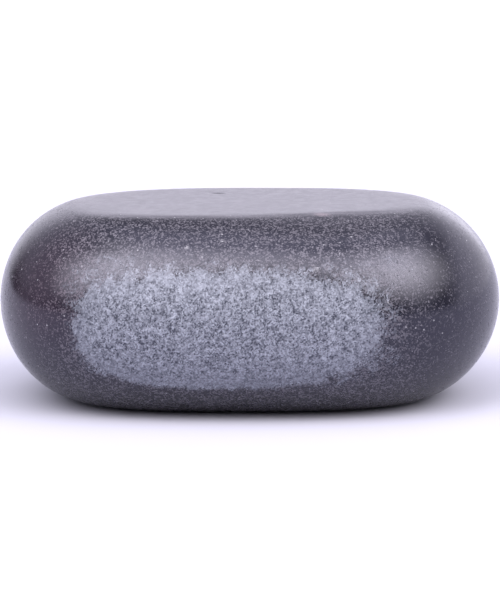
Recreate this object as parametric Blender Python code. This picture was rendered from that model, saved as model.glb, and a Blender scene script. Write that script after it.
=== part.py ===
"""A river pebble: one water-worn stone, long and thick, with a flat ground on its top and its underside.

Metres, +Z up. The origin is the middle of the stone's box, on the ground. +X runs along the stone and
-Y is the side that it is usually looked at from.
"""

import math

import bmesh
import bpy

MM = 0.001

# Driving sizes of the stone.
LENGTH = 95.0 * MM
WIDTH = 62.9 * MM
HEIGHT_ABOVE = 18.4 * MM  # from the widest level up to the top flat
HEIGHT_BELOW = 18.9 * MM  # from the widest level down to the underside
RIM_REACH = 18.6 * MM  # how far the rounded rim stands out from the flat core

# The core's plan is an oval whose four quarters are squared off by different amounts: 2 is an ellipse.
SQUARENESS_BACK_LEFT = 2.3
SQUARENESS_BACK_RIGHT = 3.2
SQUARENESS_FRONT_LEFT = 3.3
SQUARENESS_FRONT_RIGHT = 2.7

# The rim is a half round that stops just short of level, where the ground flats cut it off.
FLAT_STARTS_AT = math.radians(79)

# The near side rounds up to the top flat unevenly: it is worn back along its right, and stands forward
# along its left. Each change is greatest at its own X and fades out along the stone.
WORN_BACK = 3.0 * MM
WORN_BACK_X = 16.0 * MM
WORN_BACK_REACH = 13.0 * MM
FORWARD = 1.6 * MM
FORWARD_X = -28.0 * MM
FORWARD_REACH = 9.0 * MM
SHOULDER_FROM = math.radians(45)
NEAR_SIDE = 10.0 * MM  # in front of the middle, where the changes are complete

# Wear has left the rim gently uneven: long, low swells that fade out towards the flats.
SWELL = 0.22 * MM

SEGMENTS = 108  # around the stone
RIM_ROWS = 26  # from the lower flat to the upper one
FINE_STEPS = 3600  # for measuring along the outline

STONE_COLOUR = (0.062, 0.052, 0.072, 1.0)
STONE_ROUGHNESS = 0.4


def core_point(angle):
    """The point of the core's outline whose outward direction is at this angle, by its support."""
    half_length = LENGTH / 2 - RIM_REACH
    half_width = WIDTH / 2 - RIM_REACH
    across = math.cos(angle)
    away = math.sin(angle)
    if away >= 0:
        squareness = SQUARENESS_BACK_RIGHT if across >= 0 else SQUARENESS_BACK_LEFT
    else:
        squareness = SQUARENESS_FRONT_RIGHT if across >= 0 else SQUARENESS_FRONT_LEFT
    power = squareness / (squareness - 1)
    along = abs(half_length * across)
    deep = abs(half_width * away)
    support = (along**power + deep**power) ** (1 / power)
    x = math.copysign(half_length * (along / support) ** (power - 1), across)
    y = math.copysign(half_width * (deep / support) ** (power - 1), away)
    return x, y


def swell(angle, slope):
    """The unevenness of the rim, in metres outward: none at the flats and most at the widest level."""
    waves = 0.6 * math.sin(3 * angle + 0.7) + 0.4 * math.sin(5 * angle + 2 * slope + 1.9)
    return SWELL * waves * math.cos(slope) ** 2


def shoulder_shift(x, y, slope):
    """How far back the near side is shifted at a point of the rim: nothing below the shoulder."""
    share = min(1.0, max(0.0, (slope - SHOULDER_FROM) / (FLAT_STARTS_AT - SHOULDER_FROM)))
    near = min(1.0, max(0.0, -y / NEAR_SIDE))
    back = WORN_BACK * math.exp(-(((x - WORN_BACK_X) / WORN_BACK_REACH) ** 2))
    forward = FORWARD * math.exp(-(((x - FORWARD_X) / FORWARD_REACH) ** 2))
    return near * share * share * (3 - 2 * share) * (back - forward)


def rim_point(angle, slope):
    """A point of the rim: angle goes round the stone, and slope goes from its underside to its top."""
    x, y = core_point(angle)
    reach = RIM_REACH * math.cos(slope) + swell(angle, slope)
    half_height = HEIGHT_ABOVE if slope > 0 else HEIGHT_BELOW
    z = HEIGHT_BELOW + half_height * math.sin(slope) / math.sin(FLAT_STARTS_AT)
    x += reach * math.cos(angle)
    y += reach * math.sin(angle)
    return x, y + shoulder_shift(x, y, slope), z


def even_angles():
    """Angles that give evenly spaced points along the widest level of the stone."""
    fine = [2 * math.pi * step / FINE_STEPS for step in range(FINE_STEPS + 1)]
    walked = [0.0]
    for before, after in zip(fine, fine[1:]):
        walked.append(walked[-1] + math.dist(rim_point(before, 0.0), rim_point(after, 0.0)))
    angles = []
    for here, distance in zip(fine, walked):
        if distance >= len(angles) * walked[-1] / SEGMENTS and len(angles) < SEGMENTS:
            angles.append(here)
    return angles


def stone_mesh():
    """One closed mesh: rings of quads up the rim, and a flat face over each end."""
    mesh = bmesh.new()
    angles = even_angles()
    rings = []
    for row in range(RIM_ROWS + 1):
        slope = FLAT_STARTS_AT * (2 * row / RIM_ROWS - 1)
        rings.append([mesh.verts.new(rim_point(angle, slope)) for angle in angles])
    for lower, upper in zip(rings, rings[1:]):
        for here in range(SEGMENTS):
            there = (here + 1) % SEGMENTS
            mesh.faces.new((lower[here], lower[there], upper[there], upper[here]))
    mesh.faces.new(list(reversed(rings[0])))
    mesh.faces.new(rings[-1])
    centre_over_origin(mesh)
    mesh.normal_update()
    return mesh


def centre_over_origin(mesh):
    """Slides the mesh sideways until the middle of its box is over the origin."""
    for axis in (0, 1):
        values = [vertex.co[axis] for vertex in mesh.verts]
        middle = (min(values) + max(values)) / 2
        for vertex in mesh.verts:
            vertex.co[axis] -= middle


def stone_material():
    """Dark, dense stone with a dull polish."""
    material = bpy.data.materials.new("dark_stone")
    material.use_nodes = True
    shader = material.node_tree.nodes["Principled BSDF"]
    shader.inputs["Base Color"].default_value = STONE_COLOUR
    shader.inputs["Roughness"].default_value = STONE_ROUGHNESS
    shader.inputs["Metallic"].default_value = 0.0
    return material


def make_pebble():
    """The stone as one object, shaded smooth but for its two flats."""
    mesh = bpy.data.meshes.new("pebble")
    shape = stone_mesh()
    shape.to_mesh(mesh)
    shape.free()
    mesh.shade_smooth()
    for face in mesh.polygons:
        face.use_smooth = len(face.vertices) == 4
    mesh.materials.append(stone_material())
    pebble = bpy.data.objects.new("pebble", mesh)
    bpy.context.scene.collection.objects.link(pebble)
    return pebble


for leftover in list(bpy.data.objects):
    bpy.data.objects.remove(leftover)
make_pebble()
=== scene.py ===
# %% [markdown]
# A river pebble, dressed.
#
# The stone is one solid, so there is one piece to make. Its build model gives the size and the place,
# and this file gives the surface: a fine mesh of the same form, the ground flats, the rough patch where
# the polish has been struck off, and the stone itself, a dense dark basalt with pale crystals in it.

# %% The fixed frame
import math

import bpy
import numpy as np
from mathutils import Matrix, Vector, noise


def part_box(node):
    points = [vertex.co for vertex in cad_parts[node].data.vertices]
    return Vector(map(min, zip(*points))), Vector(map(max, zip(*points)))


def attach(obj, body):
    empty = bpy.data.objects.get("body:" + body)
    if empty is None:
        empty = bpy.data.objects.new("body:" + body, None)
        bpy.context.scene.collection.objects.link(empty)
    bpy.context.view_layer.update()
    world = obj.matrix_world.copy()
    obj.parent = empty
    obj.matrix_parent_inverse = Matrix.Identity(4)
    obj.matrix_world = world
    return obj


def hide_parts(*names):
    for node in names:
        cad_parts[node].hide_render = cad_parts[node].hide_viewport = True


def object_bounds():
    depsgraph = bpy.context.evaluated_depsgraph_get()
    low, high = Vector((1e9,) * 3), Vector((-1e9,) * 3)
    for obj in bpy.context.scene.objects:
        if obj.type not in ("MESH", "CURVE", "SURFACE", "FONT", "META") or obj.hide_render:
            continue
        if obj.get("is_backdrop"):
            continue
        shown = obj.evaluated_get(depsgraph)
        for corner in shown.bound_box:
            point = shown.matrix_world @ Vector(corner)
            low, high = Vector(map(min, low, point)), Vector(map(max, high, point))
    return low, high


MM = 0.001
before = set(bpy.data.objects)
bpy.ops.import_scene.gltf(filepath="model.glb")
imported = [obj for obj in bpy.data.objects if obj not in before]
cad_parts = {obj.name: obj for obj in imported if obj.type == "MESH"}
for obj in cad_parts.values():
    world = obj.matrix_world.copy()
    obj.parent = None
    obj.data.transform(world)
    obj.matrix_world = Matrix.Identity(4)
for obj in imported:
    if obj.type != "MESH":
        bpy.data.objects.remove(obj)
cad_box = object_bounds()
low, high = (Vector(corner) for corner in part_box("pebble"))
size = high - low
print("stone, mm:", [round(side / MM, 1) for side in size])

# %% [markdown]
# Water wears a stone from every side at once, so a pebble's rim comes out close to a half round, while
# its flats stay flat. The form could be sculpted, but a rule keeps it exact: take a flat oval core,
# and let a half round stand out from it all the way round. The core's four quarters are squared off by
# different amounts, which is what makes the stone look found and not turned on a lathe. Where the near
# side rounds up to the top, it is worn back on the right and stands forward on the left, so the top's
# near edge isn't straight. Most of these sizes come from a least-squares fit to the photograph's outline.
# They were then rounded, and some were changed.

# %% The form, as in the build model
RIM_REACH = 18.6 * MM  # how far the half round stands out from the core
BELOW_SHARE = 18.9 / 37.3  # how much of the height is below the widest level
FLAT_STARTS_AT = math.radians(79)  # the rim's slope where the flats cut it off
SWELL = 0.22 * MM
SWELLS = (  # share of the swell, waves round the stone, turn with the slope, and where they start
    (0.6, 3, 0, 0.7),
    (0.4, 5, 2, 1.9),
)
SQUARENESS = {  # of the core's quarters: 2 is an ellipse, and more is nearer to a rectangle
    "back_left": 2.3,
    "back_right": 3.2,
    "front_left": 3.3,
    "front_right": 2.7,
}
WORN_BACK = 3.0 * MM
WORN_BACK_X = 16 * MM
WORN_BACK_REACH = 13 * MM
FORWARD = 1.6 * MM
FORWARD_X = -28 * MM
FORWARD_REACH = 9 * MM
SHOULDER_FROM = math.radians(45)
NEAR_SIDE = 10 * MM  # in front of the middle, where both changes are complete
height_below = size.z * BELOW_SHARE
height_above = size.z - height_below
print("below and above the widest line, mm:", round(height_below / MM, 1), round(height_above / MM, 1))


def quarter_values(across, away, values):
    """For each direction, the value of the quarter that it points into."""
    back = np.where(across >= 0, values["back_right"], values["back_left"])
    front = np.where(across >= 0, values["front_right"], values["front_left"])
    return np.where(away >= 0, back, front)


def core_outline(angles):
    """The core's outline, as the points whose outward directions are at these angles."""
    half_length = size.x / 2 - RIM_REACH
    half_width = size.y / 2 - RIM_REACH
    across = np.cos(angles)
    away = np.sin(angles)
    squareness = quarter_values(across, away, SQUARENESS)
    power = squareness / (squareness - 1)
    along = np.abs(half_length * across)
    deep = np.abs(half_width * away)
    support = (along**power + deep**power) ** (1 / power)
    x = half_length * (along / support) ** (power - 1) * np.sign(across)
    y = half_width * (deep / support) ** (power - 1) * np.sign(away)
    return x, y


def eased(share):
    """0 up to nought, 1 from one upward, and a smooth rise between."""
    share = np.clip(share, 0, 1)
    return share * share * (3 - 2 * share)


def shoulder_shift(x, y, slopes):
    """How far back the near side is shifted where it rounds up to the ground top."""
    near = np.clip(-y / NEAR_SIDE, 0, 1)
    rise = eased((slopes - SHOULDER_FROM) / (FLAT_STARTS_AT - SHOULDER_FROM))
    back = WORN_BACK * np.exp(-(((x - WORN_BACK_X) / WORN_BACK_REACH) ** 2))
    forward = FORWARD * np.exp(-(((x - FORWARD_X) / FORWARD_REACH) ** 2))
    return near * rise * (back - forward)


def rim_surface(angles, slopes):
    """Points of the rim: angles go round the stone, slopes from its underside to its top."""
    x, y = core_outline(angles)
    waves = sum(
        share * np.sin(count * angles + turn * slopes + start)
        for share, count, turn, start in SWELLS
    )
    reach = RIM_REACH * np.cos(slopes) + SWELL * waves * np.cos(slopes) ** 2
    half_height = np.where(slopes > 0, height_above, height_below)
    z = height_below + half_height * np.sin(slopes) / math.sin(FLAT_STARTS_AT)
    x = x + reach * np.cos(angles)
    y = y + reach * np.sin(angles)
    y = y + shoulder_shift(x, y, slopes)
    return np.stack(np.broadcast_arrays(x, y, z), axis=-1)


# %% [markdown]
# Pits half a millimetre wide need a mesh finer than that, but a mesh that fine over the whole stone
# would be huge. So the rows and columns crowd together over the rough patch and stand further apart
# everywhere else.

# %% Rows and columns that crowd together at the patch
FINE = 0.22 * MM  # between the rows, and between the columns, over the patch
COARSE = 0.95 * MM  # between the columns round the rest of the stone
BETWEEN = 0.7 * MM  # between the rows up the rest of the rim
PATCH_MIDDLE_X = -4.1 * MM
PATCH_HALF_LENGTH = 28.2 * MM
PATCH_SLOPES = math.radians(-43), math.radians(37)
FINE_MARGIN = 1.5 * MM  # past the patch's ends, where the columns are still close together
COARSE_AFTER = 8 * MM  # past that margin, where the columns are as far apart as they get
COARSE_AFTER_SLOPE = math.radians(15)  # past the patch's edges, where the rows are
WALK_STEPS = 20000  # small steps round the stone, to measure along
CLIMB_STEPS = 4000  # small steps up its rim


def crowded(walk, wanted):
    """Places along a walk of small steps, as far apart as is wanted at each step."""
    count = np.concatenate([[0.0], np.cumsum(np.diff(walk) / wanted)])
    steps = round(count[-1])
    return np.interp(np.arange(steps + 1) * count[-1] / steps, count, np.arange(len(count)))


def columns():
    """Angles round the stone, close together across the front where the patch is."""
    fine = np.linspace(-math.pi, math.pi, WALK_STEPS + 1)
    points = rim_surface(fine, np.zeros_like(fine))
    walk = np.concatenate([[0.0], np.cumsum(np.linalg.norm(np.diff(points, axis=0), axis=1))])
    outside = np.abs(points[:-1, 0] - PATCH_MIDDLE_X) - PATCH_HALF_LENGTH - FINE_MARGIN
    apart = np.clip(outside / COARSE_AFTER, 0, 1)
    apart = np.where(points[:-1, 1] < 0, apart, 1.0)
    places = crowded(walk, FINE + (COARSE - FINE) * apart)
    return np.interp(places, np.arange(len(fine)), fine)[:-1]


def rows():
    """Slopes up the rim, close together from the patch's lower edge to its upper one."""
    fine = np.linspace(-FLAT_STARTS_AT, FLAT_STARTS_AT, CLIMB_STEPS + 1)
    outside = np.maximum(PATCH_SLOPES[0] - fine[:-1], fine[:-1] - PATCH_SLOPES[1])
    apart = np.clip(outside / COARSE_AFTER_SLOPE, 0, 1)
    places = crowded(fine * RIM_REACH, FINE + (BETWEEN - FINE) * apart)
    return np.interp(places, np.arange(len(fine)), fine)


angles = columns()
slopes = rows()
print("columns", len(angles), "rows", len(slopes), "rim triangles", 2 * len(angles) * (len(slopes) - 1))

# %% [markdown]
# The two flats were ground, so they meet the rim at a shallow edge. Wear has rounded it over nearly two
# millimetres to each side, and twice as far at the stone's ends, which hit other stones first. The flats
# are rings that shrink towards the middle. The rounding is a curve that dips below the sharp corner and
# rejoins both faces.

# %% The flats and their rounded edge
EDGE_ROUNDING = 1.7 * MM
ENDS_ROUNDING = 3.6 * MM  # where the edge is more worn, at the stone's two ends
WORN_FROM = 14 * MM  # out from the middle along the core, where the wider rounding begins
WORN_AT = 30 * MM
# The rings of a flat, as shares of its own edge.
FLAT_RINGS = (0.995, 0.985, 0.97, 0.95, 0.92, 0.88, 0.82, 0.74, 0.64, 0.52, 0.38, 0.22, 0.06)


def edge_dip(outward, rounding):
    """How far the rounded edge lies below the sharp one, at distances outward from it."""
    meeting = math.pi / 2 - FLAT_STARTS_AT
    near = np.clip(outward, -rounding, rounding)
    return meeting * ((near + rounding) ** 2 / (4 * rounding) - np.maximum(near, 0))


def whole_surface():
    """Every ring of the stone, from the middle of its underside to the middle of its top."""
    rim = rim_surface(angles[None, :], slopes[:, None])
    worn = eased((np.abs(core_outline(angles)[0]) - WORN_FROM) / (WORN_AT - WORN_FROM))
    rounding = EDGE_ROUNDING + (ENDS_ROUNDING - EDGE_ROUNDING) * worn
    beyond = (FLAT_STARTS_AT - np.abs(slopes)) * RIM_REACH
    rim[..., 2] -= np.sign(slopes)[:, None] * edge_dip(beyond[:, None], rounding)
    flats = []
    for edge_row, rings in ((0, FLAT_RINGS[::-1]), (-1, FLAT_RINGS)):
        edge = rim_surface(angles, np.full_like(angles, slopes[edge_row]))
        across = np.linalg.norm(edge[:, :2], axis=1)
        side = np.sign(slopes[edge_row])
        for share in rings:
            ring = edge * np.array([share, share, 1.0])
            ring[:, 2] -= side * edge_dip((share - 1) * across, rounding)
            flats.append(ring)
    under = np.array(flats[: len(FLAT_RINGS)])
    top = np.array(flats[len(FLAT_RINGS):])
    return np.concatenate([under, rim, top])


points = whole_surface()
# The four quarters differ, so the stone is slid until its box is where the build model's is.
for axis in (0, 1):
    points[..., axis] += (low[axis] + high[axis] - points[..., axis].min() - points[..., axis].max()) / 2
# Which way is outward at each point: round the rim as it turns, and straight down or up on the flats.
flat_count = len(FLAT_RINGS)
ring_slopes = np.concatenate([np.full(flat_count, -math.pi / 2), slopes, np.full(flat_count, math.pi / 2)])
normals = np.stack(
    np.broadcast_arrays(
        np.cos(ring_slopes)[:, None] * np.cos(angles),
        np.cos(ring_slopes)[:, None] * np.sin(angles),
        np.sin(ring_slopes)[:, None],
    ),
    axis=-1,
)
print("rings", len(points), "box, mm:", np.round((points.max((0, 1)) - points.min((0, 1))) / MM, 2))

# %% [markdown]
# The rough patch is where the polish has been knocked off the side of the stone. It is laid out as it
# looks from the front: an oval with squared quarters, most of the way along the stone. How far inward
# a place lies from the oval's edge drives both the dish in the mesh and the colour in the material. The
# edge is crisp below, and fades above and at both ends, most of all on the right.

# %% Where the rough patch is
VIEW_DOWN = math.radians(11)  # the patch is measured as the camera sees it, from this far above level
PATCH_MIDDLE_UP = 12.25 * MM
PATCH_HALF_HEIGHT = 10.8 * MM
PATCH_SQUARENESS = {"back_left": 3.7, "back_right": 3.2, "front_left": 2.6, "front_right": 2.5}
CRISP = 0.8 * MM  # how wide the edge's fade is along the bottom
FADING_UP = 2.2 * MM  # and how much wider it gets above and at each end
FADING_LEFT = 1.5 * MM
FADING_RIGHT = 5.5 * MM
FADING_UPPER_LEFT = 2.6 * MM  # and in the upper left corner
BRUISED_IN = 5 * MM  # how far in from its edge the patch is fully broken
TINY = 1e-9  # keeps the oval's own middle from a division by nought


def inside_patch(places):
    """How far inward from the patch's edge each place is, and how wide the edge's fade is there."""
    up = places[..., 2] * math.cos(VIEW_DOWN) + places[..., 1] * math.sin(VIEW_DOWN)
    across = (places[..., 0] - PATCH_MIDDLE_X) / PATCH_HALF_LENGTH
    rise = (up - PATCH_MIDDLE_UP) / PATCH_HALF_HEIGHT
    squareness = quarter_values(across, rise, PATCH_SQUARENESS)
    span = np.abs(across) + TINY
    lift = np.abs(rise) + TINY
    reach = (span**squareness + lift**squareness) ** (1 / squareness)
    slope_x = (span / reach) ** (squareness - 1) / PATCH_HALF_LENGTH
    slope_up = (lift / reach) ** (squareness - 1) / PATCH_HALF_HEIGHT
    distance = (1 - reach) / np.hypot(slope_x, slope_up)
    upward = np.clip(rise, 0, 1)
    corner = upward * np.clip(-across, 0, 1)
    softness = CRISP + FADING_UP * upward**2 + FADING_UPPER_LEFT * corner
    softness = softness + FADING_RIGHT * np.clip(across, 0, 1) ** 3
    softness = softness + FADING_LEFT * np.clip(-across, 0, 1) ** 3
    return np.where(places[..., 1] < 0, distance, -1.0), softness


depth, softness = inside_patch(points)
inwardness = depth / softness
broken = np.clip(depth / BRUISED_IN, 0, 1)
print("patch, share of the mesh:", round(float((depth > 0).mean()), 2))

# %% [markdown]
# Struck basalt breaks between its crystals, and leaves pale bruised ridges that wander like worms round
# dark pits. Ridges like that are where smooth random noise passes through nought. Two sizes of them are
# added together, and the heights move the mesh, so the pits are real. The same heights are kept on the
# mesh for the material, which makes the ridges pale and the pits dark.

# %% Ridges and pits in the patch, and the wander of the polished surface
WORM = 0.62 * MM  # spacing of the wider ridges
WORM_SHARE, WORM_SHARPNESS = 0.62, 2.6
FINE_WORM = 0.40 * MM
FINE_WORM_SHARE, FINE_WORM_SHARPNESS = 0.38, 2.2
ELSEWHERE = Vector((1, 2, 3))  # takes the fine ridges from another part of the noise than the wider ones
PIT_DEPTH = 0.07 * MM
DISH_DEPTH = 0.10 * MM
RAGGED = 0.5  # how far noise shifts the patch's edge, as a share of its fade
RAGGED_SPACING = 2.3 * MM
RAGGED_FINE_SPACING = 0.9 * MM
RAGGED_FINE_SHARE = 0.6
WHOLLY_OUTSIDE = -4  # fades outward from the edge, past which nothing of the patch is left
LEVEL = 0.5  # of a height between pit and ridge
WANDER = 9 * MM
WANDER_DEPTH = 0.03 * MM


def ridge(place, spacing, sharpness):
    """1 on a ridge line, falling to 0 in the pits between."""
    return max(0.0, 1 - sharpness * abs(noise.noise(place / spacing)))


def surface_relief():
    """For each point: how far to push it inward, how rough it is, and how high it stands in the patch."""
    inward = np.zeros(points.shape[:2])
    rough = np.zeros(points.shape[:2])
    height = np.full(points.shape[:2], LEVEL)
    for row, column in np.argwhere(inwardness > WHOLLY_OUTSIDE):
        place = Vector(points[row, column])
        ragged = noise.noise(place / RAGGED_SPACING)
        ragged += RAGGED_FINE_SHARE * noise.noise(place / RAGGED_FINE_SPACING)
        share = eased((1 + inwardness[row, column] + RAGGED * ragged) / 2)
        worms = WORM_SHARE * ridge(place, WORM, WORM_SHARPNESS)
        worms += FINE_WORM_SHARE * ridge(place + ELSEWHERE, FINE_WORM, FINE_WORM_SHARPNESS)
        rough[row, column] = share
        height[row, column] = worms
        inward[row, column] = share * (DISH_DEPTH + PIT_DEPTH * (LEVEL - worms))
    for row in range(flat_count, flat_count + len(slopes)):
        fade = math.sqrt(math.cos(ring_slopes[row]))
        for column in range(len(angles)):
            place = Vector(points[row, column])
            inward[row, column] += WANDER_DEPTH * fade * (1 + noise.noise(place / WANDER)) / 2
    return inward, rough, height


inward, rough, height = surface_relief()
points -= normals * inward[..., None]
print("deepest, mm:", round(float(inward.max()) / MM, 3), "rough share:", round(float(rough.mean()), 2))


# %% [markdown]
# The rings now become one closed skin: squares between each ring and the next, and a small face over each
# end. Its points carry three values for the finish, because a material can read them there: how rough the
# surface is, how high it stands between pit and ridge, and how far the blows have broken it.

# %% The stone's mesh


def stone_object():
    """One closed mesh of rings, with a small face over each end, and the patch's values on its points."""
    ring_count, column_count = points.shape[:2]
    ring, column = np.meshgrid(np.arange(ring_count - 1), np.arange(column_count), indexing="ij")
    beside = (column + 1) % column_count
    start = ring * column_count
    above = start + column_count
    quads = np.stack([start + column, start + beside, above + beside, above + column], axis=-1)
    faces = quads.reshape(-1, 4).tolist()
    faces.append(list(range(column_count))[::-1])
    faces.append(list(range((ring_count - 1) * column_count, ring_count * column_count)))
    mesh = bpy.data.meshes.new("pebble_skin")
    mesh.from_pydata(points.reshape(-1, 3).tolist(), [], faces)
    for name, values in (("rough_patch", rough), ("ridge_height", height), ("broken", broken)):
        layer = mesh.attributes.new(name, "FLOAT", "POINT")
        layer.data.foreach_set("value", values.astype(np.float32).ravel())
    mesh.shade_smooth()
    mesh.validate()
    skin = bpy.data.objects.new("pebble_skin", mesh)
    bpy.context.scene.collection.objects.link(skin)
    return skin


skin = stone_object()
skin.data.calc_loop_triangles()
print("triangles:", len(skin.data.loop_triangles))

# %% [markdown]
# The finish needs many small nodes, so one function adds any kind of node with its settings and its
# links. Another turns a colour from its sRGB hex value, as a colour picker gives it, into the linear
# light that a shader works in.

# %% Two helpers for materials
DETAIL = 3.0  # how many finer levels a noise has


def linear(hex_colour):
    """An sRGB hex colour as linear red, green, blue and alpha, by the sRGB standard's own curve."""
    shares = [int(hex_colour[place:place + 2], 16) / 255 for place in (1, 3, 5)]
    light = [share / 12.92 if share <= 0.04045 else ((share + 0.055) / 1.055) ** 2.4 for share in shares]
    return (*light, 1.0)


def add(tree, kind, inputs=(), **settings):
    """Adds a node. Its inputs go by name or in order: values are set, and nodes or sockets are linked."""
    made = tree.nodes.new("ShaderNode" + kind)
    for name, value in settings.items():
        setattr(made, name, value)
    in_use = [socket for socket in made.inputs if socket.enabled]
    named = isinstance(inputs, dict)
    for place, value in inputs.items() if named else enumerate(inputs):
        socket = made.inputs[place] if named else in_use[place]
        if isinstance(value, bpy.types.Node):
            value = next(output for output in value.outputs if output.enabled)
        if isinstance(value, bpy.types.NodeSocket):
            tree.links.new(value, socket)
        else:
            socket.default_value = value
    return made


print("mid grey in linear light:", round(linear("#808080")[0], 3))

# %% [markdown]
# Basalt is a dark lava: a mosaic of black pyroxene and pale feldspar crystals, each a few tenths of a
# millimetre. Voronoi cells make such grains, each with random values of its own. Round grains of many
# sizes, laid over a finer mosaic, look like crystals in stone, where a plain noise would look like cloud.

# %% Round grains and soft spots
SALT_APART = 0.50 * MM  # pale crystals that stand out from the mosaic
SALT = 0.30 * MM  # the largest radius, as are WHITE and PIT
WHITE_APART = 1.7 * MM
WHITE = 0.27 * MM
PITS_APART = 0.62 * MM
PIT = 0.34 * MM


def grains(tree, place, apart, largest):
    """Round grains with radii up to the largest: 1 at a grain's middle, and 0 from its radius outward."""
    cell = add(tree, "TexVoronoi", {"Vector": place, "Scale": 1 / apart})
    random = add(tree, "SeparateColor", [cell.outputs["Color"]])
    radius = add(tree, "Math", [random.outputs["Red"], largest / apart], operation="MULTIPLY")
    distance = cell.outputs["Distance"]
    return add(tree, "MapRange", [distance, radius, 0.0], interpolation_type="SMOOTHSTEP")


def spot(tree, place, middle, reach):
    """1 at the middle of a soft spot, and 0 from its reach outward."""
    apart = add(tree, "VectorMath", [place, middle], operation="SUBTRACT")
    shares = add(tree, "VectorMath", [apart, reach], operation="DIVIDE")
    length = add(tree, "VectorMath", [shares], operation="LENGTH")
    return add(tree, "MapRange", [length, 1.0, 0.0], interpolation_type="SMOOTHSTEP")


# Radii that are spread evenly from nought up have a third of the largest one's square as mean square.
cover = [
    math.pi * (largest / apart) ** 2 / 3
    for apart, largest in ((SALT_APART, SALT), (WHITE_APART, WHITE), (PITS_APART, PIT))
]
print("share under salt, white crystals and pits:", [round(share, 3) for share in cover])

# %% [markdown]
# Tumbling in a river polishes basalt to a dull gloss. The black crystals set its colour, and the pale
# ones stand in it as fine salt, gathered in faint clouds, with a white one here and there. Fewer of them
# towards the two ends is painted shade, which darkens the ends. The left end has an old iron stain, and
# so has the foot, where the stone lay in the ground.

# %% Tumbled basalt, where it is polished
CRYSTAL = 0.27 * MM  # width of the mosaic's crystals
PALE_FROM_TO = 0.45, 1.0  # of each crystal's random value
FINE_SHARE = 0.80  # how pale the mosaic's palest crystals are
SALT_SHARE = 0.8  # and the salt's
CLOUD = 1.3 * MM  # spacing of the places where pale crystals gather
GATHERING = 0.8
BLACK_MINERAL = "#0b0a16"
PALE_MINERAL = "#5e5b63"
WHITE_MINERAL = "#a3a2a8"
IRON_STAIN = "#1e0f1b"
STAINED_PALE = "#62565f"
STAIN_MIDDLE = (-38 * MM, -19 * MM, 24 * MM)
STAIN_REACH = (18 * MM, 18 * MM, 17 * MM)
FOOT_STAIN_TOP = 3 * MM
FOOT_STAIN = 0.6
# Painted shade: the polished stone is made less pale towards its two ends, which darkens them.
SHADED_ENDS_MIDDLE = -3 * MM  # midway between the places where the two ends begin to darken
ENDS_SHADE_FROM = 28 * MM
ENDS_SHADE_FULL_AT = 40 * MM
ENDS_PAINTED_SHADE = 0.52


def polished_paleness(tree, place, random):
    """How pale the polished stone is from crystal to crystal, made less pale towards its two ends as
    painted shade.
    """
    cloud = add(tree, "TexNoise", {"Vector": place, "Scale": 1 / CLOUD, "Detail": DETAIL})
    shift = add(tree, "Math", [cloud, GATHERING, -GATHERING / 2], operation="MULTIPLY_ADD")
    # Painted shade at the two ends: a ramp along X takes paleness away.
    outward = add(tree, "Math", [add(tree, "SeparateXYZ", [place]), SHADED_ENDS_MIDDLE], operation="SUBTRACT")
    outward = add(tree, "Math", [outward], operation="ABSOLUTE")
    ends = [outward, ENDS_SHADE_FROM, ENDS_SHADE_FULL_AT, 0.0, ENDS_PAINTED_SHADE]
    ends = add(tree, "MapRange", ends, interpolation_type="SMOOTHSTEP")
    fine = add(tree, "Math", [random.outputs["Red"], shift], operation="ADD")
    fine = add(tree, "MapRange", [fine, *PALE_FROM_TO, 0.0, FINE_SHARE], interpolation_type="SMOOTHSTEP")
    salt = grains(tree, place, SALT_APART, SALT)
    gathered = add(tree, "Math", [shift, SALT_SHARE], operation="ADD")
    both = add(tree, "Math", [salt, gathered, fine], operation="MULTIPLY_ADD")
    return add(tree, "Math", [both, ends], operation="SUBTRACT", use_clamp=True)


def polished_colour(tree, place, paleness):
    """Black stone with pale crystals, a few white ones, and the two stains."""
    stain = spot(tree, place, STAIN_MIDDLE, STAIN_REACH)
    up = add(tree, "SeparateXYZ", [place]).outputs["Z"]
    foot = [up, FOOT_STAIN_TOP, 0.0, 0.0, FOOT_STAIN]
    foot = add(tree, "MapRange", foot, interpolation_type="SMOOTHSTEP")
    stained = add(tree, "Math", [stain, foot], operation="MAXIMUM")
    black = [stained, linear(BLACK_MINERAL), linear(IRON_STAIN)]
    black = add(tree, "Mix", black, data_type="RGBA")
    pale = add(tree, "Mix", [stain, linear(PALE_MINERAL), linear(STAINED_PALE)], data_type="RGBA")
    body = add(tree, "Mix", [paleness, black, pale], data_type="RGBA")
    white = grains(tree, place, WHITE_APART, WHITE)
    return add(tree, "Mix", [white, body, linear(WHITE_MINERAL)], data_type="RGBA")


print("crystals along the stone:", round(size.x / CRYSTAL))

# %% [markdown]
# Light blows have bruised the polish in three places without breaking it, and a few crystals there have
# gone white. A soft spot says where, and each crystal's own random value says whether it is one of them.

# %% Bruises in the polish
BRUISE_CRYSTALS = 0.2, 0.9  # random values: crystals below the first stay dark, above the second go white
BRUISES = (  # the middle of each, and how far it reaches
    ((12.1 * MM, -28.2 * MM, 29.6 * MM), (1.3 * MM, 1.3 * MM, 0.9 * MM)),
    ((-11.6 * MM, -25.2 * MM, 33.0 * MM), (0.8 * MM, 0.8 * MM, 0.5 * MM)),
    ((-5.1 * MM, -23.9 * MM, 34.0 * MM), (0.7 * MM, 0.7 * MM, 0.6 * MM)),
)


def bruised_white(tree, place, random):
    """The crystals of the bruises that have gone white."""
    crystals = add(tree, "MapRange", [random.outputs["Green"], *BRUISE_CRYSTALS])
    total = 0.0
    for middle, reach in BRUISES:
        here = spot(tree, place, middle, reach)
        total = add(tree, "Math", [here, crystals, total], operation="MULTIPLY_ADD", use_clamp=True)
    return total


print("bruises:", len(BRUISES))

# %% [markdown]
# The top was ground level on another stone. Grinding cuts every crystal to one height, so the top has
# hardly any grain. It leaves a film of stone dust in the last scratches instead, in faint streaks that
# run along the stone. There is one deeper scratch behind the middle, and a dull smudge at the near edge.

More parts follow.
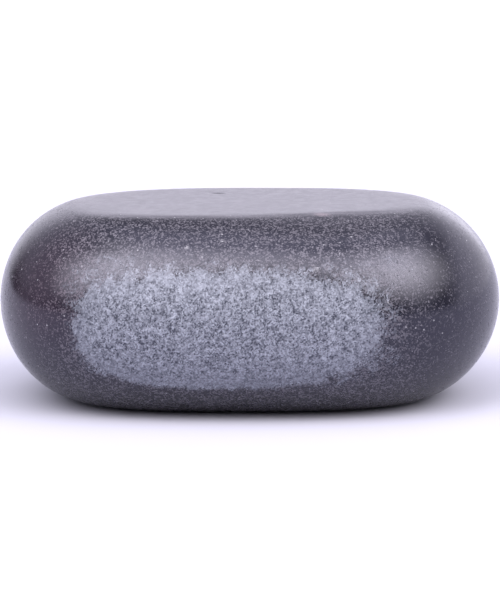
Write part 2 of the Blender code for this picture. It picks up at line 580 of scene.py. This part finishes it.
# %% The ground top
GROUND_FROM = 0.6 * MM  # below the top, where the grain begins to give way to the film
GROUND_AT = 0.1 * MM  # below the top, where the film is whole
FILM_SPACING = 1.7 * MM
FILM_STREAK = (0.3, 1.0, 1.0)  # squeezes X before the noise, so the streaks run along it
FILM_DETAIL = 4.0
FILM_NOISE = 0.3, 0.7  # two values of the noise
FILM_ENDS = 0.15, 0.75  # and how pale the film is at each
FILM_HIDES = 0.65  # how much of the grain the film hides
SCRATCH_MIDDLE = (-6.1 * MM, 9.5 * MM, 37.3 * MM)
SCRATCH_REACH = (1.9 * MM, 0.7 * MM, 1.0 * MM)
SCRATCH_POLISH = 0.8  # roughness of the scratch
SMUDGE = "#6b6168"
SMUDGE_MIDDLE = (13.4 * MM, -13.6 * MM, 37.2 * MM)
SMUDGE_REACH = (2.3 * MM, 1.6 * MM, 1.0 * MM)


def ground_mask(tree, place):
    """1 on the ground top, and 0 below the edge that it was ground to."""
    up = add(tree, "SeparateXYZ", [place]).outputs["Z"]
    ends = [up, size.z - GROUND_FROM, size.z - GROUND_AT]
    return add(tree, "MapRange", ends, interpolation_type="SMOOTHSTEP")


def filmed(tree, place, ground, scratch, paleness):
    """The paleness of the stone, with the dust film over its grain where it was ground."""
    stretched = add(tree, "VectorMath", [place, FILM_STREAK], operation="MULTIPLY")
    streaks = add(tree, "TexNoise", {"Vector": stretched, "Scale": 1 / FILM_SPACING, "Detail": FILM_DETAIL})
    film = add(tree, "MapRange", [streaks, *FILM_NOISE, *FILM_ENDS])
    film = add(tree, "Math", [scratch, -1.0, film], operation="MULTIPLY_ADD", use_clamp=True)
    hidden = add(tree, "Math", [ground, FILM_HIDES], operation="MULTIPLY")
    return add(tree, "Mix", [hidden, paleness, film])


print("streaks across the top:", round(size.y / FILM_SPACING))

# %% [markdown]
# Where the polish is struck off, light scatters from thousands of tiny cracks, and the stone looks pale
# and cold. Its ridges are the palest, and round pits between them stay dark. Towards the patch's edge
# the blows were lighter, so the pits are fainter there. Its top left is made paler still: painted light,
# where the left lights fall on it.

# %% Tumbled basalt, where it is struck
PIT_COLOUR = "#2a2d38"
RIDGE_COLOUR = "#a0a4b1"
MOTTLE = 1.2 * MM  # spacing of the soft mottling
FAINT = 0.55  # how much of the contrast is left at the patch's edge
GRAIN_SHARE, RIDGE_SHARE, MOTTLE_SHARE, PIT_SHARE = 0.66, 0.45, 0.98, 0.33
PITS_COVER = 0.12  # the pits' mean, which is added back, so more pits don't darken the whole patch
STRUCK_PALENESS = 0.375  # the patch's mean, from pit colour to ridge colour
LIT_CORNER_PALENESS = 0.08  # how much painted light adds to it, in the patch's top left
LIT_CORNER_MIDDLE = (-13 * MM, -29 * MM, 28 * MM)
LIT_CORNER_REACH = (17 * MM, 14 * MM, 8 * MM)


def struck_colour(tree, place, random, ridges, broken):
    """Pale on its ridges, dark in its pits, and uneven from crystal to crystal."""
    mottle = add(tree, "TexNoise", {"Vector": place, "Scale": 1 / MOTTLE, "Detail": DETAIL})
    sum_so_far = PITS_COVER * PIT_SHARE - (GRAIN_SHARE + RIDGE_SHARE + MOTTLE_SHARE) / 2
    shares = ((random.outputs["Green"], GRAIN_SHARE), (ridges, RIDGE_SHARE), (mottle, MOTTLE_SHARE),
              (grains(tree, place, PITS_APART, PIT), -PIT_SHARE))
    for part, share in shares:
        sum_so_far = add(tree, "Math", [part, share, sum_so_far], operation="MULTIPLY_ADD")
    contrast = add(tree, "MapRange", [broken, 0.0, 1.0, FAINT, 1.0])
    # Painted light: the patch is made paler in its top left, where the left lights fall on it.
    lit_corner = spot(tree, place, LIT_CORNER_MIDDLE, LIT_CORNER_REACH)
    even = add(tree, "Math", [lit_corner, LIT_CORNER_PALENESS, STRUCK_PALENESS], operation="MULTIPLY_ADD")
    paleness = add(tree, "Math", [sum_so_far, contrast, even], operation="MULTIPLY_ADD", use_clamp=True)
    return add(tree, "Mix", [paleness, linear(PIT_COLOUR), linear(RIDGE_COLOUR)], data_type="RGBA")


print("pits along the patch:", round(2 * PATCH_HALF_LENGTH / PITS_APART))

# %% [markdown]
# The two looks meet where the patch begins, crystal by crystal: each crystal changes over at its own
# depth into the patch. The smudge on the ground top and the white crystals of the bruises are laid over
# them.

# %% The whole stone's colour
CHANGE_SPREAD = 0.5  # how much sooner the quickest crystals change over
BRUISED_FROM = 0.45  # where the change begins, from 0 outside the patch to 1 within it


def stone_colour(tree, place, random, paleness, patch):
    """Polished and struck stone, with the smudge and the bruises."""
    ridges, broken = [
        add(tree, "Attribute", attribute_name=name).outputs["Fac"] for name in ("ridge_height", "broken")
    ]
    smudged = spot(tree, place, SMUDGE_MIDDLE, SMUDGE_REACH)
    polished = polished_colour(tree, place, paleness)
    polished = add(tree, "Mix", [smudged, polished, linear(SMUDGE)], data_type="RGBA")
    struck = struck_colour(tree, place, random, ridges, broken)
    changed = add(tree, "Math", [random.outputs["Blue"], CHANGE_SPREAD, patch], operation="MULTIPLY_ADD")
    bruised = add(tree, "MapRange", [changed, BRUISED_FROM, 1.0], interpolation_type="SMOOTHSTEP")
    colour = add(tree, "Mix", [bruised, polished, struck], data_type="RGBA")
    white = bruised_white(tree, place, random)
    return add(tree, "Mix", [white, colour, linear(WHITE_MINERAL)], data_type="RGBA")


print("struck stone, darkest and palest:", [round(linear(end)[1], 3) for end in (PIT_COLOUR, RIDGE_COLOUR)])

# %% [markdown]
# Feldspar splits more readily than pyroxene, so the pale crystals are made the less polished ones, and
# here and there one has been plucked out. The ground top is more even. Into the patch the gloss goes
# later than the colour, because a light blow bruises the stone before it breaks the polish.

# %% The whole stone's polish
POLISH_OF_BLACK = 0.19  # roughness, as are the next three
POLISH_OF_PALE = 0.42
EVEN_POLISH = 0.24  # of the ground top, where the crystals were cut level
PLUCKED = 0.45
PLUCKED_SHARE = 0.05  # of the crystals
POLISH_WAVES = 1.6 * MM  # spacing of the uneven places
POLISH_UNEVEN = 0.12  # and how much the roughness changes from one to the next
STRUCK = 0.50  # roughness of the struck patch
GLOSS_LOST_FROM = 0.7  # where the gloss begins to go, from 0 outside the patch to 1 within it


def stone_polish(tree, place, random, paleness, ground, scratch, patch):
    """Roughness: a dull gloss, less of it on pale crystals, and hardly any where the stone is struck."""
    polish = add(tree, "MapRange", [paleness, 0.0, 1.0, POLISH_OF_BLACK, POLISH_OF_PALE])
    waves = add(tree, "TexNoise", {"Vector": place, "Scale": 1 / POLISH_WAVES, "Detail": DETAIL})
    uneven = add(tree, "Math", [waves, POLISH_UNEVEN, -POLISH_UNEVEN / 2], operation="MULTIPLY_ADD")
    plucked = add(tree, "Math", [random.outputs["Green"], 1 - PLUCKED_SHARE], operation="GREATER_THAN")
    polish = add(tree, "Mix", [plucked, polish, PLUCKED])
    polish = add(tree, "Mix", [ground, polish, EVEN_POLISH])
    polish = add(tree, "Mix", [scratch, polish, SCRATCH_POLISH])
    polish = add(tree, "Math", [polish, uneven], operation="ADD")
    gloss_lost = add(tree, "MapRange", [patch, GLOSS_LOST_FROM, 1.0], interpolation_type="SMOOTHSTEP")
    return add(tree, "Mix", [gloss_lost, polish, STRUCK])


print("roughness from", POLISH_OF_BLACK, "on black crystals to", STRUCK, "where it is struck")

# %% [markdown]
# The material joins colour and polish. An IOR of 1.6 lies between that of feldspar and that of pyroxene.
# The sheen is tinted a little cold, to match the photograph. Very fine roughness does scatter slightly
# more blue light than red.

# %% The stone's material
COLD_SHEEN = "#edecff"
IOR = 1.6


def basalt():
    """Dense dark stone, dully polished, with the struck patch pale and nearly matt."""
    made = bpy.data.materials.new("tumbled_basalt")
    made.use_nodes = True
    tree = made.node_tree
    shader = tree.nodes["Principled BSDF"]
    place = add(tree, "TexCoord").outputs["Object"]
    crystal = add(tree, "TexVoronoi", {"Vector": place, "Scale": 1 / CRYSTAL})
    random = add(tree, "SeparateColor", [crystal.outputs["Color"]])
    patch = add(tree, "Attribute", attribute_name="rough_patch").outputs["Fac"]
    ground = ground_mask(tree, place)
    scratch = spot(tree, place, SCRATCH_MIDDLE, SCRATCH_REACH)
    paleness = filmed(tree, place, ground, scratch, polished_paleness(tree, place, random))
    colour = stone_colour(tree, place, random, paleness, patch)
    roughness = stone_polish(tree, place, random, paleness, ground, scratch, patch)
    tree.links.new(colour.outputs["Result"], shader.inputs["Base Color"])
    tree.links.new(roughness.outputs["Result"], shader.inputs["Roughness"])
    shader.inputs["IOR"].default_value = IOR
    shader.inputs["Specular Tint"].default_value = linear(COLD_SHEEN)
    return made


skin.data.materials.append(basalt())
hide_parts("pebble")
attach(skin, "root")
print("nodes:", len(skin.data.materials[0].node_tree.nodes))

# %% [markdown]
# The stone lies on a wide sheet of pale paper with a little blue in it. That tints the stone's shadow,
# and the light that the paper throws up onto the stone's lower half. One large square is enough, because
# its edges are far outside the picture.

# %% Floor
FLOOR_COLOUR = "#bbbbc8"
FLOOR_HALF = 4.0  # metres, half a side
PAPER_ROUGHNESS = 0.9
PAPER_SPECULAR = 0.1  # uncoated paper has hardly any gloss


def paper_floor():
    """A wide sheet of pale paper under the stone."""
    mesh = bpy.data.meshes.new("floor")
    corners = [(x * FLOOR_HALF, y * FLOOR_HALF, 0) for x, y in ((-1, -1), (1, -1), (1, 1), (-1, 1))]
    mesh.from_pydata(corners, [], [(0, 1, 2, 3)])
    made = bpy.data.materials.new("white_paper")
    made.use_nodes = True
    shader = made.node_tree.nodes["Principled BSDF"]
    shader.inputs["Base Color"].default_value = linear(FLOOR_COLOUR)
    shader.inputs["Roughness"].default_value = PAPER_ROUGHNESS
    shader.inputs["Specular IOR Level"].default_value = PAPER_SPECULAR
    mesh.materials.append(made)
    floor = bpy.data.objects.new("floor", mesh)
    bpy.context.scene.collection.objects.link(floor)
    floor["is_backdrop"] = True
    return floor


floor = paper_floor()
print("floor, m:", [round(side, 1) for side in floor.dimensions])

# %% [markdown]
# Lamps and soft boxes could be hung as objects, but their reflections would end in hard edges, and in
# the stone's dull polish they fade out softly. So each light is painted on the sky as a round pool: all
# its strength within one angle of its middle, none beyond another, and a smooth fall between. Two boxes,
# to the left and the right, draw the pale band along the stone's shoulder. A third is above the left one,
# and a faint pool fills the gap between them. The paper that curves up behind is what the ground top and
# the edges of the outline mirror. Wide, weak pools on the ceiling light the floor and keep the stone's
# ends from going black, and a low one over the table does that on the right. Where most of the pools are
# and how wide and strong they are comes from a least-squares fit of test lights to the brightness of the
# photograph. The values were then rounded, and some were changed.

# %% The pools of light
BOX_TINT = (1.0, 0.965, 0.965)
PAPER_TINT = (1.0, 0.97, 1.125)
CEILING_TINT = (1.0, 0.99, 1.18)
POOLS = {  # in degrees: azimuth from +X, height, reach, half the soft edge; then strength and tint
    "left box": (217, 40, 17.5, 21.5, 4.9, BOX_TINT),
    "right box": (329, 42, 18.5, 22, 8.3, BOX_TINT),
    "top box": (242, 62, 17.5, 13, 4.6, BOX_TINT),
    "between the boxes": (293, 51, 12, 10, 1.3, BOX_TINT),
    "ceiling": (180, 47, 46.5, 14, 0.72, CEILING_TINT),
    "ceiling, right": (357, 74, 29, 9, 1.1, CEILING_TINT),
    "ceiling, far right": (70, 50, 15.5, 9.5, 0.55, CEILING_TINT),
    "paper behind, right": (38, -2, 41, 12, 1.5, PAPER_TINT),
    "paper behind, left": (99, 11, 28.5, 14, 1.27, PAPER_TINT),
    "table, right": (328, 3, 13, 12, 0.5, CEILING_TINT),
}


def towards(azimuth, height):
    """The direction at an azimuth and a height, in degrees."""
    turn = np.radians(azimuth)
    rise = np.radians(height)
    return np.cos(turn) * np.cos(rise), np.sin(turn) * np.cos(rise), np.sin(rise)


def studio_world():
    """A dark room with soft pools of light in it."""
    world = bpy.data.worlds.new("studio")
    world.use_nodes = True
    tree = world.node_tree
    ray = tree.nodes.new("ShaderNodeTexCoord").outputs["Generated"]
    light = (0.0, 0.0, 0.0)
    for azimuth, height, reach, edge, strength, tint in POOLS.values():
        along = add(tree, "VectorMath", [ray, towards(azimuth, height)], operation="DOT_PRODUCT")
        apart = add(tree, "Math", [along], operation="ARCCOSINE")
        ends = [apart, np.radians(reach + edge), np.radians(reach - edge), 0.0, strength]
        pool = add(tree, "MapRange", ends, interpolation_type="SMOOTHSTEP")
        light = add(tree, "VectorMath", [pool, tint, light], operation="MULTIPLY_ADD").outputs[0]
    tree.links.new(light, tree.nodes["Background"].inputs["Color"])
    bpy.context.scene.world = world


studio_world()
print("pools of light:", len(POOLS))

# %% [markdown]
# The stone hardly tapers in the photograph, so the camera has a long lens and looks down at a shallow
# angle. The lens is a guess. The angle is a choice too, because angles from 10.5 to 12 degrees fit the
# outline equally well. The distance follows from the lens and from how many of the photograph's pixels
# the stone is long.

# %% Camera
PHOTO_WIDTH = 500
PHOTO_HEIGHT = 600  # the longer side, which is the one that the sensor's width covers
STONE_PIXELS = 497.4
LENS = 220.0  # in millimetres, as is the sensor
SENSOR = 36.0
CAMERA_UP = VIEW_DOWN
AIM_HEIGHT = 18.2 * MM
NEAREST_SEEN, FARTHEST_SEEN = 0.01, 50.0  # metres


def long_lens_camera():
    """A camera that shows the stone as long as it is in the photograph, aimed at its middle."""
    metres_seen = size.x * PHOTO_HEIGHT / STONE_PIXELS
    distance = metres_seen * LENS / SENSOR
    data = bpy.data.cameras.new("camera")
    data.lens = LENS
    data.sensor_width = SENSOR
    data.clip_start = NEAREST_SEEN
    data.clip_end = FARTHEST_SEEN
    camera = bpy.data.objects.new("camera", data)
    back = Vector((0, -math.cos(CAMERA_UP), math.sin(CAMERA_UP)))
    camera.location = Vector((0, 0, AIM_HEIGHT)) + back * distance
    camera.rotation_euler = (math.pi / 2 - CAMERA_UP, 0, 0)
    bpy.context.scene.collection.objects.link(camera)
    bpy.context.scene.camera = camera
    return distance


print("camera distance, m:", round(long_lens_camera(), 3))
print("the stone fills this much of the picture's width:", round(STONE_PIXELS / PHOTO_WIDTH, 3))
bpy.context.scene.view_settings.view_transform = "Standard"

# %% [markdown]
# The dressed stone has to stay within the build model's size, so both boxes are kept to be compared.

# %% Sizes of both boxes, and the end
sizes = {"cad": cad_box, "visual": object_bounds()}
sizes = {name: [list(corner) for corner in box] for name, box in sizes.items()}
print("sizes, m:", sizes)
